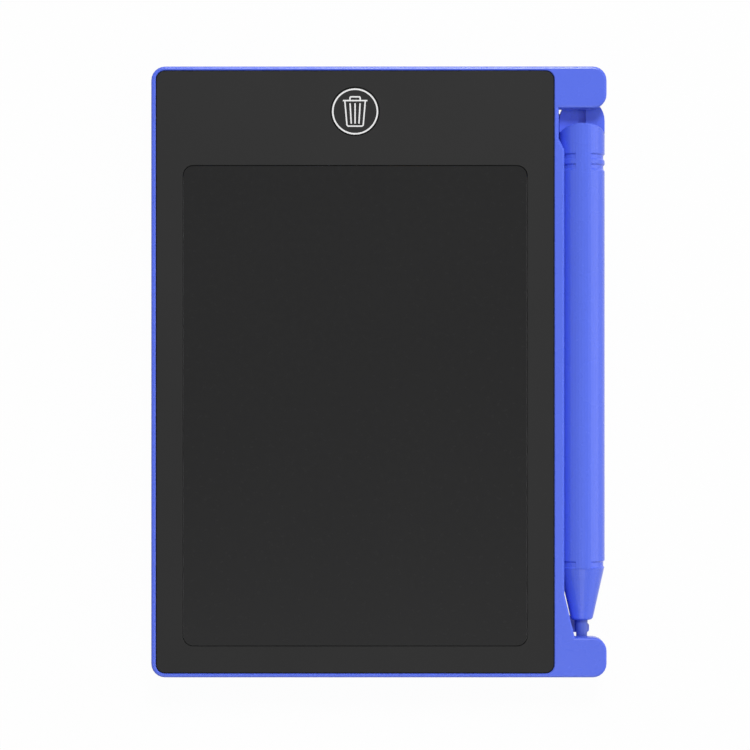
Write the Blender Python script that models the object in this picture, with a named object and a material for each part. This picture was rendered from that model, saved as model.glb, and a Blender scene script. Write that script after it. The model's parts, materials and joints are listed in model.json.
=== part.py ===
"""LCD writing tablet with a stylus docked in its side.

The tablet lies on its back: +X to its right, +Y to its top edge, +Z out of the screen. The origin
is the centre of the back face. All sizes are in metres.
"""

import math

import bmesh
import bpy

# Case
CASE_WIDTH = 0.0858
CASE_LENGTH = 0.1151
CASE_CORNER = 0.0026
FRONT_FILLET = 0.00045
BACK_FILLET = 0.0008
BACK_WALL = 0.0013
RIM_SIDE = 0.00085
RIM_END = 0.00075
RIM_EDGE = 0.00012
LEDGE = 0.00075
RIB = 0.0010

# Fits
SEAM_GAP = 0.00012
SEAT_GAP = 0.0001
PART_GAP = 0.0003
JOIN = 0.0004
OVERRUN = 0.0010

# Stylus
STYLUS_RADIUS = 0.00436
STYLUS_SINK = 0.00012
STYLUS_REST = 0.00036
STYLUS_BORE = 0.0026
STYLUS_BORE_END = 0.0012
BARREL_DROP = 0.00504
BARREL_EDGE = 0.0003
BARREL_CUT_DEG = 25
PLUG_LENGTH = 0.0080
CONE_LENGTH = 0.0099
CONE_STEP = 0.0001
CONE_TIP_RADIUS = 0.0022
CONE_TIP_ROUND = 0.0007
NIB_RADIUS = 0.00115
NIB_END_RADIUS = 0.0010
NIB_OUT = 0.00538
NIB_ROOT = 0.0045
GROOVE_DROP = 0.0064
GROOVE_PITCH = 0.00195
GROOVE_WIDTH = 0.0013
GROOVE_DEPTH = 0.00026
GROOVE_UPPER_DRAFT = 0.0003
GROOVE_LOWER_DRAFT = 0.0004
LOWER_GROOVE_RISE = 0.0007
LOWER_GROOVE_WIDTH = 0.0015
GROOVE_START_DEG = 19.5
HEAD_GAP = 0.0006
KEYWAY_WIDTH = 0.0014
KEYWAY_DEPTH = 0.0006

# Stylus bay in the side of the case
TROUGH_GAP = 0.00028
RAIL_WALL = 0.00083
LIP_REACH = 0.001047
LIP_CONE_DROP = 0.00479
LIP_FOOT_SIDE = 0.00166
HEAD_BAY = 0.00571
HEAD_BAY_RAMP = 0.0021
UPPER_LUG = 0.00788
LOWER_LUG = 0.00755
LUG_CORNER = 0.0026
POCKET_DEPTH = 0.00283
POCKET_GAP = 0.00025
POCKET_SIDE = 0.00035
END_PLAY = 0.0004
SLIT = 0.0004
SHELF_STEP = 0.0003
SHELF_RISE = 0.0003
FINGER_HEIGHT = 0.00175
FINGER_REACH = 0.00153
FINGER_CORNER = 0.0005
FINGER_ROOT = 0.0013
DETENT_WIDTH = 0.0009
DETENT_HEIGHT = 0.0003

# Front frame and screen
FRAME_SINK = 0.0002
FRAME_THICKNESS = 0.0016
FRAME_CORNER = 0.0016
FRAME_EDGE = 0.00012
WINDOW_SIDE = 0.00498
WINDOW_TOP = 0.01777
WINDOW_BOTTOM = 0.00501
WINDOW_CORNER = 0.00195
WINDOW_EDGE = 0.00008
FILM_SINK = 0.0001
FILM = 0.00025
TAPE = 0.0002
TAPE_WIDTH = 0.0025
BOARD = 0.0008
BOARD_MARGIN = 0.0018
BOARD_CORNER = 0.0010
BOARD_TOP_SETBACK = 0.0020

# Snap hooks round the frame
CATCH = 0.0004
CATCH_HEIGHT = 0.0007
HOOK_LENGTH = 0.0024
HOOK_THICKNESS = 0.0008
HOOK_WIDTH = 0.0050
HOOK_BARB = 0.00035
HOOK_BARB_HEIGHT = 0.0006
HOOK_BARB_FLAT = 0.0002
SIDE_HOOK_SHARES = (0.23, 0.43, 0.80)
TOP_HOOK_SHARES = (0.12, 0.90)
BOTTOM_HOOK_SHARES = (0.38, 0.65)

# Erase button and its switch
BUTTON_RADIUS = 0.00455
BUTTON_GAP = 0.0001
BUTTON_DROP = 0.0076
BUTTON_FLANGE = 0.0006
BUTTON_FLANGE_LAP = 0.00085
BUTTON_WALL = 0.0010
BUTTON_FACE = 0.0009
BUTTON_STEM = 0.0016
BUTTON_EDGE = 0.00012
BUTTON_TRAVEL = 0.0003
SWITCH_SIDE = 0.0060
SWITCH_FLOOR = 0.0003
SWITCH_WELL = 0.00195
SWITCH_COVER = 0.00015
SWITCH_COVER_HOLE = 0.00155
PLUNGER_RADIUS = 0.0014
PLUNGER_FLANGE = 0.0004
PLUNGER_FLANGE_RADIUS = 0.0017
DOME_RADIUS = 0.0017
DOME_RISE = 0.0003
DOME_SHEET = 0.0001

# Circuit board and what it carries
PCB_WIDTH = 0.0360
PCB_LENGTH = 0.0108
PCB = 0.0010
PCB_SCREW_INSET = 0.0025
BOSS_RADIUS = 0.0020
SCREW_RADIUS = 0.00085
SCREW_HEAD_RADIUS = 0.0016
SCREW_HEAD = 0.0009
SCREW_SLOT = 0.0004
SCREW_SLOT_DEPTH = 0.0004
PILOT_FLOOR = 0.0008
CHIP_RADIUS = 0.0020
CHIP_HEIGHT = 0.0009
COIL_RADIUS = 0.0018
COIL_HEIGHT = 0.0019
COIL_WAIST = 0.0004
COIL_FLANGE = 0.0004
CAPACITOR_LENGTH = 0.0020
CAPACITOR_WIDTH = 0.00125
CAPACITOR_HEIGHT = 0.0009
DIODE_LENGTH = 0.0026
DIODE_WIDTH = 0.0016
DIODE_HEIGHT = 0.0011
TRANSISTOR_LENGTH = 0.0029
TRANSISTOR_WIDTH = 0.0013
TRANSISTOR_HEIGHT = 0.0010
LEAD_LENGTH = 0.0005
LEAD_WIDTH = 0.0004
LEAD_HEIGHT = 0.0003

# Ribbon from the screen to the circuit board
TAIL_WIDTH = 0.0080
TAIL = 0.00012
TAIL_LAP = 0.0012
TAIL_OFFSET_SHARE = 0.28

# Coin cell, its compartment and contacts
CELL_DROP = 0.0067
CELL_RADIUS = 0.0100
CELL_HEIGHT = 0.0025
CELL_CAN = 0.0003
CELL_CAN_DROP = 0.0002
CELL_GASKET = 0.0005
CELL_LIFT = 0.0003
CONTACT_ROOM = 0.0008
WELL_GAP = 0.0003
WELL_LEAF_ROOM = 0.0010
WELL_CORNER = 0.0020
WELL_WALL = 0.0010
WELL_ROOF = 0.0008
CONTACT = 0.0002
CONTACT_WIDTH = 0.0025
CONTACT_LAP = 0.0020
NEGATIVE_OFFSET = 0.0050
NEGATIVE_REACH = 0.0060
POSITIVE_DROP = 0.0016

# Battery door
DOOR_LAP = 0.0021
DOOR_SCREW_LAND = 0.0070
DOOR_CORNER = 0.0015
DOOR_GAP = 0.00015
DOOR_SINK = 0.0001
DOOR_EDGE = 0.0002
DOOR_SEAT = 0.0011
DOOR_SEAT_MARGIN = 0.0014
TAB_WIDTH = 0.0040
TAB_REACH = 0.0009
TAB_THICKNESS = 0.0005
TAB_RISE = 0.0004
TAB_SWEEP = 0.0010
TAB_SPREAD_SHARE = 0.27
DOOR_SCREW_RADIUS = 0.00095
DOOR_SCREW_HEAD_RADIUS = 0.0019
DOOR_SCREW_HEAD = 0.0005
DOOR_SCREW_LENGTH = 0.0039
DOOR_SCREW_SWING = 0.0004
DOOR_BOSS_WALL = 0.0009
DOOR_BOSS_ROOF = 0.0005

# Ribs under the screen, as shares of the cavity
LONG_RIB_SHARES = (0.235, 0.83)
CROSS_RIB_SHARES = (0.14, 0.33, 0.52)

# Facets
ROUND = 48
SMALL_ROUND = 24
CORNER = 6
FILLET = 3

# Heights, counted up from the back face
stack_depth = (
    BACK_WALL + CELL_LIFT + CELL_HEIGHT + CONTACT_ROOM + WELL_ROOF + BOARD + TAPE + FILM + FILM
    + FILM_SINK + FRAME_SINK + 4 * SEAT_GAP
)
case_depth = max(stack_depth, STYLUS_REST + STYLUS_RADIUS * 2 + STYLUS_SINK)
frame_front = case_depth - FRAME_SINK
frame_back = frame_front - FRAME_THICKNESS
front_film_top = frame_front - FILM_SINK
back_film_top = front_film_top - FILM - SEAT_GAP
tape_top = back_film_top - FILM - SEAT_GAP
board_top = tape_top - TAPE - SEAT_GAP
lip_back = board_top + SEAT_GAP
rib_top = board_top - BOARD - SEAT_GAP
ledge_top = frame_back - SEAT_GAP

flange_top = frame_back - SEAT_GAP
flange_bottom = flange_top - BUTTON_FLANGE
plunger_top = flange_bottom - SEAT_GAP
cover_top = plunger_top - BUTTON_TRAVEL - SEAT_GAP
switch_top = cover_top - SWITCH_COVER - SEAT_GAP
plunger_flange_bottom = switch_top - PLUNGER_FLANGE
dome_top = plunger_flange_bottom - BUTTON_TRAVEL - SEAT_GAP
dome_bottom = dome_top - DOME_RISE - DOME_SHEET
switch_well_floor = dome_bottom - SEAT_GAP
switch_bottom = switch_well_floor - SWITCH_FLOOR
pcb_top = switch_bottom - SEAT_GAP
pcb_bottom = pcb_top - PCB
boss_top = pcb_bottom - SEAT_GAP
on_pcb = pcb_top + SEAT_GAP

cell_bottom = BACK_WALL + CELL_LIFT
cell_top = cell_bottom + CELL_HEIGHT
well_ceiling = rib_top - WELL_ROOF
door_inside = BACK_WALL + DOOR_GAP
seat_top = door_inside + DOOR_SEAT
contact_level = well_ceiling - SEAT_GAP - CONTACT

# Stylus axis, and places along it
stylus_x = CASE_WIDTH / 2 - STYLUS_RADIUS
stylus_z = case_depth - STYLUS_SINK - STYLUS_RADIUS
trough_radius = STYLUS_RADIUS + TROUGH_GAP
upper_lug_y = CASE_LENGTH / 2 - UPPER_LUG
lower_lug_y = -CASE_LENGTH / 2 + LOWER_LUG
head_end_y = upper_lug_y + POCKET_DEPTH - END_PLAY
dome_y = head_end_y - STYLUS_RADIUS
barrel_top_y = head_end_y - BARREL_DROP
nib_end_y = lower_lug_y - POCKET_DEPTH + END_PLAY
cone_tip_y = nib_end_y + NIB_OUT
cone_start_y = cone_tip_y + CONE_LENGTH
cone_start_radius = STYLUS_RADIUS - CONE_STEP
cone_slope = (cone_start_radius - CONE_TIP_RADIUS) / CONE_LENGTH
cut_slope = math.tan(math.radians(BARREL_CUT_DEG))
pocket_front_z = stylus_z + NIB_RADIUS + POCKET_GAP
head_flat_z = pocket_front_z - HEAD_GAP

# Edges of the rail beside the stylus
trough_root_x = stylus_x - trough_radius
lip_x = trough_root_x + LIP_REACH
lip_cone_y = cone_start_y - LIP_CONE_DROP
lip_foot_x = stylus_x - LIP_FOOT_SIDE
lip_slope = (lip_foot_x - lip_x) / (lip_cone_y - lower_lug_y)
shelf_top_z = stylus_z - NIB_RADIUS - PART_GAP
finger_low_y = lower_lug_y + SLIT
finger_high_y = finger_low_y + FINGER_HEIGHT

# Rebate, cavity, frame and screen, seen from the front
rebate_x0 = -CASE_WIDTH / 2 + RIM_SIDE
rebate_x1 = trough_root_x - RAIL_WALL
rebate_y1 = CASE_LENGTH / 2 - RIM_END
rebate_y0 = -rebate_y1
rebate_corner = FRAME_CORNER + SEAM_GAP
cavity_x0, cavity_x1 = rebate_x0 + LEDGE, rebate_x1 - LEDGE
cavity_y0, cavity_y1 = rebate_y0 + LEDGE, rebate_y1 - LEDGE
frame_x0, frame_x1 = rebate_x0 + SEAM_GAP, rebate_x1 - SEAM_GAP
frame_y0, frame_y1 = rebate_y0 + SEAM_GAP, rebate_y1 - SEAM_GAP
window_x0, window_x1 = frame_x0 + WINDOW_SIDE, frame_x1 - WINDOW_SIDE
window_y0, window_y1 = frame_y0 + WINDOW_BOTTOM, frame_y1 - WINDOW_TOP
film_x0, film_x1 = window_x0 + SEAM_GAP, window_x1 - SEAM_GAP
film_y0, film_y1 = window_y0 + SEAM_GAP, window_y1 - SEAM_GAP
film_corner = WINDOW_CORNER - SEAM_GAP
board_x0, board_x1 = window_x0 - BOARD_MARGIN, window_x1 + BOARD_MARGIN
board_y0, board_y1 = window_y0 - BOARD_MARGIN, film_y1 - BOARD_TOP_SETBACK

button_x = (frame_x0 + frame_x1) / 2
button_y = frame_y1 - BUTTON_DROP
pcb_x0, pcb_x1 = button_x - PCB_WIDTH / 2, button_x + PCB_WIDTH / 2
pcb_y0, pcb_y1 = button_y - PCB_LENGTH / 2, button_y + PCB_LENGTH / 2
pcb_screw_xs = (pcb_x0 + PCB_SCREW_INSET, pcb_x1 - PCB_SCREW_INSET)

cell_x = button_x
cell_y = pcb_y0 - CELL_DROP - CELL_RADIUS
well_x0 = cell_x - CELL_RADIUS - WELL_GAP
well_x1 = cell_x + CELL_RADIUS + WELL_GAP
well_y0 = cell_y - CELL_RADIUS - WELL_GAP
well_y1 = cell_y + CELL_RADIUS + WELL_LEAF_ROOM
door_x0, door_x1 = well_x0 - DOOR_LAP, well_x1 + DOOR_SCREW_LAND
door_y0, door_y1 = well_y0 - DOOR_LAP, well_y1 + DOOR_LAP
door_screw_x = (well_x1 + WELL_WALL + door_x1) / 2
door_screw_y = (door_y0 + door_y1) / 2
door_pilot = DOOR_SCREW_RADIUS + DOOR_SCREW_SWING
tab_bottom = DOOR_SINK + TAB_RISE
tab_ys = [
    door_screw_y + side * (door_y1 - door_y0) * TAB_SPREAD_SHARE for side in (-1, 1)
]
door_boss_top = DOOR_SINK + DOOR_SCREW_HEAD + DOOR_SCREW_LENGTH + PART_GAP + DOOR_BOSS_ROOF
negative_x = cell_x - NEGATIVE_OFFSET
positive_x = cell_x

# Snap hooks under the frame
hook_bottom = frame_back - HOOK_LENGTH
hook_barb_top = hook_bottom + HOOK_BARB_HEIGHT
hook_face = CATCH + SEAM_GAP

COLOURS = {
    "blue_shell": ((0.118, 0.178, 0.831, 1), 0.42, 0),
    "black_frame": ((0.031, 0.031, 0.031, 1), 0.5, 0),
    "screen_film": ((0.023, 0.023, 0.025, 1), 0.25, 0),
    "white_tape": ((0.6, 0.6, 0.58, 1), 0.7, 0),
    "grey_board": ((0.32, 0.32, 0.33, 1), 0.6, 0),
    "green_board": ((0.02, 0.16, 0.06, 1), 0.45, 0),
    "polyimide": ((0.45, 0.2, 0.03, 1), 0.4, 0),
    "black_resin": ((0.012, 0.012, 0.012, 1), 0.4, 0),
    "ferrite": ((0.05, 0.045, 0.045, 1), 0.6, 0),
    "ceramic_tan": ((0.42, 0.3, 0.18, 1), 0.5, 0),
    "steel": ((0.55, 0.55, 0.56, 1), 0.28, 1),
    "sheet_steel": ((0.62, 0.6, 0.56, 1), 0.32, 1),
    "cell_cap": ((0.6, 0.6, 0.6, 1), 0.25, 1),
    "gasket": ((0.03, 0.03, 0.03, 1), 0.6, 0),
}


def material(slot):
    """The Principled BSDF material of a slot, made once."""
    found = bpy.data.materials.get(slot)
    if found:
        return found
    colour, roughness, metallic = COLOURS[slot]
    made = bpy.data.materials.new(slot)
    made.use_nodes = True
    shader = made.node_tree.nodes["Principled BSDF"]
    shader.inputs["Base Color"].default_value = colour
    shader.inputs["Roughness"].default_value = roughness
    shader.inputs["Metallic"].default_value = metallic
    made.diffuse_color = colour
    return made


# Outlines and solids


def arc(centre_x, centre_y, radius, start_deg, end_deg, steps=CORNER):
    """Points along an arc, both ends included."""
    points = []
    for step in range(steps + 1):
        angle = math.radians(start_deg + (end_deg - start_deg) * step / steps)
        points.append((centre_x + radius * math.cos(angle), centre_y + radius * math.sin(angle)))
    return points


def rounded(x0, y0, x1, y1, radius, inset=0):
    """A rectangle with round corners, drawn in by an inset."""
    x0, y0, x1, y1 = x0 + inset, y0 + inset, x1 - inset, y1 - inset
    radius = radius - inset
    return (
        arc(x0 + radius, y0 + radius, radius, 180, 270)
        + arc(x1 - radius, y0 + radius, radius, 270, 360)
        + arc(x1 - radius, y1 - radius, radius, 0, 90)
        + arc(x0 + radius, y1 - radius, radius, 90, 180)
    )


def rectangle(x0, y0, x1, y1):
    return [(x0, y0), (x1, y0), (x1, y1), (x0, y1)]


def drawn_in(outline, inset):
    """The outline, counter-clockwise, with every side moved inwards by the inset."""
    moved = []
    for before, here, after in zip(outline[-1:] + outline[:-1], outline, outline[1:] + outline[:1]):
        in_x, in_y = here[0] - before[0], here[1] - before[1]
        out_x, out_y = after[0] - here[0], after[1] - here[1]
        in_length, out_length = math.hypot(in_x, in_y), math.hypot(out_x, out_y)
        first = (-in_y / in_length, in_x / in_length)
        second = (-out_y / out_length, out_x / out_length)
        spread = 1 + first[0] * second[0] + first[1] * second[1]
        moved.append((
            here[0] + inset * (first[0] + second[0]) / spread,
            here[1] + inset * (first[1] + second[1]) / spread,
        ))
    return moved


def skin(rings, closed=False):
    """A closed body through rings of points: capped at both ends, or joined end to end."""
    body = bmesh.new()
    loops = []
    for ring in rings:
        loops.append([body.verts.new(point) for point in ring])
    pairs = list(zip(loops, loops[1:]))
    if closed:
        pairs.append((loops[-1], loops[0]))
    for low, high in pairs:
        count = max(len(low), len(high))
        for i in range(count):
            j = (i + 1) % count
            corners = [low[i % len(low)], low[j % len(low)], high[j % len(high)], high[i % len(high)]]
            kept = []
            for corner in corners:
                if corner not in kept:
                    kept.append(corner)
            body.faces.new(kept)
    if not closed:
        for end in (loops[0], loops[-1]):
            if len(end) > 2:
                body.faces.new(end)
    bmesh.ops.recalc_face_normals(body, faces=body.faces)
    return body


def prism(outline, z0, z1):
    """An outline raised from z0 to z1."""
    return skin([[(x, y, z) for x, y in outline] for z in (z0, z1)])


def block(x0, y0, z0, x1, y1, z1):
    return prism(rectangle(x0, y0, x1, y1), z0, z1)


def soft_prism(outline, z0, z1, low_radius=0, high_radius=0):
    """A prism whose lower and upper edges are rounded."""
    rings = []
    for step in range(FILLET + 1 if low_radius else 1):
        angle = math.pi / 2 * step / FILLET
        inset = low_radius * (1 - math.sin(angle))
        height = z0 + low_radius * (1 - math.cos(angle))
        rings.append([(x, y, height) for x, y in drawn_in(outline, inset)])
    for step in range(FILLET + 1 if high_radius else 1):
        angle = math.pi / 2 * step / FILLET
        inset = high_radius * (1 - math.cos(angle))
        height = z1 - high_radius * (1 - math.sin(angle))
        rings.append([(x, y, height) for x, y in drawn_in(outline, inset)])
    return skin(rings)


def turned_z(profile, x, y, steps=SMALL_ROUND, closed=False):
    """A profile of (radius, height) turned about a vertical axis."""
    rings = []
    for radius, height in profile:
        count = steps if radius else 1
        rings.append([
            (x + radius * math.cos(math.tau * i / steps), y + radius * math.sin(math.tau * i / steps), height)
            for i in range(count)
        ])
    return skin(rings, closed)


def turned_stylus(profile, steps=ROUND):
    """A profile of (radius, y, tilted) turned about the stylus's axis.

    A tilted point lies on the plane of the barrel's oblique cut, which falls away to the back.
    """
    rings = []
    for radius, y, tilted in profile:
        count = steps if radius else 1
        ring = []
        for i in range(count):
            angle = math.tau * (i + 0.5) / steps
            rise = radius * math.sin(angle)
            fall = (STYLUS_RADIUS - rise) * cut_slope if tilted else 0
            ring.append((stylus_x + radius * math.cos(angle), y - fall, stylus_z + rise))
        rings.append(ring)
    return skin(rings)


def ribbon(points, thickness, x0, x1):
    """A bent strip of sheet: a (y, z) centre line given a thickness and a width along X."""
    sides = ([], [])
    for i, (y, z) in enumerate(points):
        before = points[max(i - 1, 0)]
        after = points[min(i + 1, len(points) - 1)]
        arms = []
        for start, end in ((before, (y, z)), ((y, z), after)):
            length = math.hypot(end[0] - start[0], end[1] - start[1])
            if length:
                arms.append(((start[1] - end[1]) / length, (end[0] - start[0]) / length))
        first, second = arms[0], arms[-1]
        spread = 1 + first[0] * second[0] + first[1] * second[1]
        for side, sign in zip(sides, (-1, 1)):
            reach = sign * thickness / 2
            side.append((
                y + reach * (first[0] + second[0]) / spread,
                z + reach * (first[1] + second[1]) / spread,
            ))
    outline = sides[0] + sides[1][::-1]
    return skin([[(x, y, z) for y, z in outline] for x in (x0, x1)])


# Objects


def place(name, body, slot):
    """An object of the model, made from a body."""
    mesh = bpy.data.meshes.new(name)
    body.to_mesh(mesh)
    body.free()
    made = bpy.data.objects.new(name, mesh)
    mesh.materials.append(material(slot))
    bpy.context.scene.collection.objects.link(made)
    return made


def tool(target, body, operation):
    """A hidden body that is cut from the target or joined to it."""
    made = place(target.name + "_tool", body, target.data.materials[0].name)
    made.hide_render = True
    made.display_type = "WIRE"
    step = target.modifiers.new(operation.lower(), "BOOLEAN")
    step.operation = operation
    step.solver = "EXACT"
    step.object = made


def cut(target, *bodies):
    for body in bodies:
        tool(target, body, "DIFFERENCE")


def fuse(target, *bodies):
    for body in bodies:
        tool(target, body, "UNION")


def settle(parts):
    """Applies the cuts and joins of every part, takes the tools away and shades the parts."""
    graph = bpy.context.evaluated_depsgraph_get()
    graph.update()
    for part in parts:
        mesh = bpy.data.meshes.new_from_object(part.evaluated_get(graph))
        mesh.name = part.name
        part["settled"] = mesh.name
    for part in parts:
        part.modifiers.clear()
        part.data = bpy.data.meshes[part["settled"]]
        del part["settled"]
        part.data.shade_smooth()
        part.data.set_sharp_from_angle(angle=math.radians(35))
    for thing in list(bpy.data.objects):
        if thing.display_type == "WIRE":
            bpy.data.objects.remove(thing, do_unlink=True)


def hang(part, x, y, z):
    """Moves a part's origin to a point of its joint's axis, leaving its shape where it is."""
    for vertex in part.data.vertices:
        vertex.co.x -= x
        vertex.co.y -= y
        vertex.co.z -= z
    part.location = (x, y, z)


# Case


def case_outline():
    """The tablet from the front: the bay lies between two lugs on the right."""
    right, top = CASE_WIDTH / 2, CASE_LENGTH / 2
    ramp_end_y = upper_lug_y - HEAD_BAY
    return (
        arc(-right + CASE_CORNER, -top + CASE_CORNER, CASE_CORNER, 180, 270)
        + arc(right - CASE_CORNER, -top + CASE_CORNER, CASE_CORNER, 270, 360)
        + arc(right - LUG_CORNER, lower_lug_y - LUG_CORNER, LUG_CORNER, 0, 90)
        + [
            (lip_foot_x, lower_lug_y),
            (lip_x, lip_cone_y),
            (lip_x, ramp_end_y - HEAD_BAY_RAMP),
            (trough_root_x, ramp_end_y),
            (trough_root_x, upper_lug_y),
        ]
        + arc(right - LUG_CORNER, upper_lug_y + LUG_CORNER, LUG_CORNER, 270, 360)
        + arc(right - CASE_CORNER, top - CASE_CORNER, CASE_CORNER, 0, 90)
        + arc(-right + CASE_CORNER, top - CASE_CORNER, CASE_CORNER, 90, 180)
    )


def shelf():
    """The rear lip behind the stylus, with the finger that backs the nib."""
    inner_x = trough_root_x - JOIN
    edge_x = lip_x + SHELF_STEP
    corner_x = stylus_x + FINGER_REACH - FINGER_CORNER
    root_y = finger_high_y + FINGER_ROOT
    root_x = edge_x + (lip_cone_y - root_y) * lip_slope
    outline = (
        [(inner_x, upper_lug_y - SLIT), (inner_x, finger_low_y)]
        + arc(corner_x, finger_low_y + FINGER_CORNER, FINGER_CORNER, -90, 0)
        + arc(corner_x, finger_high_y - FINGER_CORNER, FINGER_CORNER, 0, 90)
        + [(root_x, root_y), (edge_x, lip_cone_y), (edge_x, upper_lug_y - SLIT)]
    )
    return prism(outline, SHELF_RISE, shelf_top_z)


def trough():
    """The space that the barrel and cone lie in, with its clearance all round."""
    high = upper_lug_y - SLIT / 2
    low = cone_tip_y - TROUGH_GAP
    return turned_stylus([
        (0, high, False),
        (trough_radius, high, False),
        (trough_radius, cone_start_y, False),
        (CONE_TIP_RADIUS + TROUGH_GAP, low, False),
        (0, low, False),
    ])


def lug_pockets():
    """The pockets behind the two hoods, open to the bay, the back and the right."""
    right = CASE_WIDTH / 2 + OVERRUN
    nib_side = stylus_x - NIB_RADIUS - POCKET_SIDE
    upper = block(
        trough_root_x, upper_lug_y - SLIT / 2, -OVERRUN,
        right, upper_lug_y + POCKET_DEPTH, pocket_front_z,
    )
    lower = block(
        nib_side, lower_lug_y - POCKET_DEPTH, -OVERRUN,
        right, lower_lug_y + SLIT / 2, pocket_front_z,
    )
    return upper, lower


def detent():
    """The low rib under the upper hood, over the keyway of the stylus's head."""
    return block(
        stylus_x - DETENT_WIDTH / 2, upper_lug_y + FRONT_FILLET, pocket_front_z - DETENT_HEIGHT,
        stylus_x + DETENT_WIDTH / 2, upper_lug_y + POCKET_DEPTH + JOIN, pocket_front_z + JOIN,
    )


def wall_place(side, share):
    """A function from a distance off a wall and a place along it to world X and Y."""
    along_x = cavity_x0 + share * (cavity_x1 - cavity_x0)
    along_y = cavity_y0 + share * (cavity_y1 - cavity_y0)
    return {
        "left": lambda off, along: (cavity_x0 + off, along_y + along),
        "right": lambda off, along: (cavity_x1 - off, along_y + along),
        "bottom": lambda off, along: (along_x + along, cavity_y0 + off),
        "top": lambda off, along: (along_x + along, cavity_y1 - off),
    }[side]


def wall_sweep(section, side, share):
    """A section of (distance off the wall, height) run along the wall by a hook's width."""
    where = wall_place(side, share)
    rings = []
    for along in (-HOOK_WIDTH / 2, HOOK_WIDTH / 2):
        ring = []
        for off, height in section:
            ring.append((*where(off, along), height))
        rings.append(ring)
    return skin(rings)


def hook_places():
    for share in SIDE_HOOK_SHARES:
        yield "left", share
        yield "right", share
    for share in TOP_HOOK_SHARES:
        yield "top", share
    for share in BOTTOM_HOOK_SHARES:
        yield "bottom", share


def catch(side, share):
    """The ledge on the case's wall that a barb snaps under, sloped on top to lead it in."""
    low = hook_barb_top + SEAT_GAP
    high = low + CATCH_HEIGHT
    return wall_sweep([(-JOIN, low), (CATCH, low), (-JOIN, high + JOIN)], side, share)


def hook(side, share):
    """A leg under the frame with an outward barb."""
    tip = hook_face - HOOK_BARB
    section = [
        (hook_face, frame_back + JOIN),
        (hook_face, hook_barb_top),
        (tip, hook_barb_top),
        (tip, hook_barb_top - HOOK_BARB_FLAT),
        (hook_face, hook_bottom),
        (hook_face + HOOK_THICKNESS, hook_bottom),
        (hook_face + HOOK_THICKNESS, frame_back + JOIN),
    ]
    return wall_sweep(section, side, share)


def screen_ribs():
    """The lattice of ribs that carries the backing board."""
    low = BACK_WALL - JOIN
    ribs = []
    for share in LONG_RIB_SHARES:
        x = cavity_x0 + share * (cavity_x1 - cavity_x0)
        ribs.append(block(x - RIB / 2, cavity_y0 - JOIN, low, x + RIB / 2, board_y1, rib_top))
    for share in CROSS_RIB_SHARES:
        y = cavity_y0 + share * (cavity_y1 - cavity_y0)
        ribs.append(block(cavity_x0 - JOIN, y - RIB / 2, low, cavity_x1 + JOIN, y + RIB / 2, rib_top))
    return ribs


def pillar(x, y, radius, top):
    """A round boss on the back wall."""
    low = BACK_WALL - JOIN
    return turned_z([(0, low), (radius, low), (radius, top), (0, top)], x, y)


def bore(x, y, radius, low, high):
    return turned_z([(0, low), (radius, low), (radius, high), (0, high)], x, y)


def add_bay(case):
    fuse(case, shelf())
    cut(case, trough(), *lug_pockets())
    fuse(case, detent())


def add_battery_compartment(case):
    """The pocket for the coin cell, opened from the back, with the door's seat round it."""
    margin = DOOR_SEAT_MARGIN
    low = BACK_WALL - JOIN
    wall = WELL_WALL
    fuse(
        case,
        prism(
            rounded(door_x0 - margin, door_y0 - margin, door_x1 + margin, door_y1 + margin, DOOR_CORNER),
            low, seat_top,
        ),
        prism(
            rounded(well_x0 - wall, well_y0 - wall, well_x1 + wall, well_y1 + wall, WELL_CORNER),
            seat_top - JOIN, rib_top,
        ),
        bore(door_screw_x, door_screw_y, door_pilot + DOOR_BOSS_WALL, seat_top - JOIN, door_boss_top),
    )
    cut(
        case,
        prism(
            rounded(door_x0, door_y0, door_x1, door_y1, DOOR_CORNER + DOOR_GAP, -DOOR_GAP),
            -OVERRUN, door_inside,
        ),
        prism(rounded(well_x0, well_y0, well_x1, well_y1, WELL_CORNER), door_inside - JOIN, well_ceiling),
        bore(door_screw_x, door_screw_y, door_pilot, door_inside - JOIN, door_boss_top - DOOR_BOSS_ROOF),
    )
    for y in tab_ys:
        half = TAB_WIDTH / 2 + PART_GAP
        cut(case, block(
            door_x0 - TAB_REACH - PART_GAP, y - half, tab_bottom - SEAT_GAP,
            door_x0 + TAB_SWEEP, y + half, seat_top + OVERRUN,
        ))
    for x in (negative_x, positive_x):
        half = CONTACT_WIDTH / 2 + PART_GAP
        cut(case, block(
            x - half, well_y1 - JOIN, contact_level - PART_GAP,
            x + half, well_y1 + WELL_WALL + JOIN, well_ceiling,
        ))


def add_board_mounts(case):
    """Screw bosses for the circuit board, and a post that backs the switch."""
    for x in pcb_screw_xs:
        fuse(case, pillar(x, button_y, BOSS_RADIUS, boss_top))
        cut(case, bore(x, button_y, SCREW_RADIUS + SEAT_GAP, PILOT_FLOOR, boss_top + OVERRUN))
    fuse(case, pillar(button_x, button_y, BOSS_RADIUS, boss_top))


def eased_opening(x0, y0, x1, y1, radius, low, face, edge):
    """The space of a round-cornered opening in a face, whose edge is eased."""
    rings = []
    for outset, height in ((0, low), (0, face - edge), (edge + OVERRUN, face + OVERRUN)):
        rings.append([(x, y, height) for x, y in rounded(x0, y0, x1, y1, radius, -outset)])
    return skin(rings)


def rear_case():
    case = place(
        "rear_case", soft_prism(case_outline(), 0, case_depth, BACK_FILLET, FRONT_FILLET), "blue_shell"
    )
    cut(
        case,
        eased_opening(
            rebate_x0, rebate_y0, rebate_x1, rebate_y1, rebate_corner, ledge_top, case_depth, RIM_EDGE
        ),
        prism(
            rounded(cavity_x0, cavity_y0, cavity_x1, cavity_y1, rebate_corner - LEDGE),
            BACK_WALL, ledge_top + JOIN,
        ),
    )
    add_bay(case)
    fuse(case, *screen_ribs())
    add_battery_compartment(case)
    add_board_mounts(case)
    fuse(case, *[catch(side, share) for side, share in hook_places()])
    return case


# Front frame and screen


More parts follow.
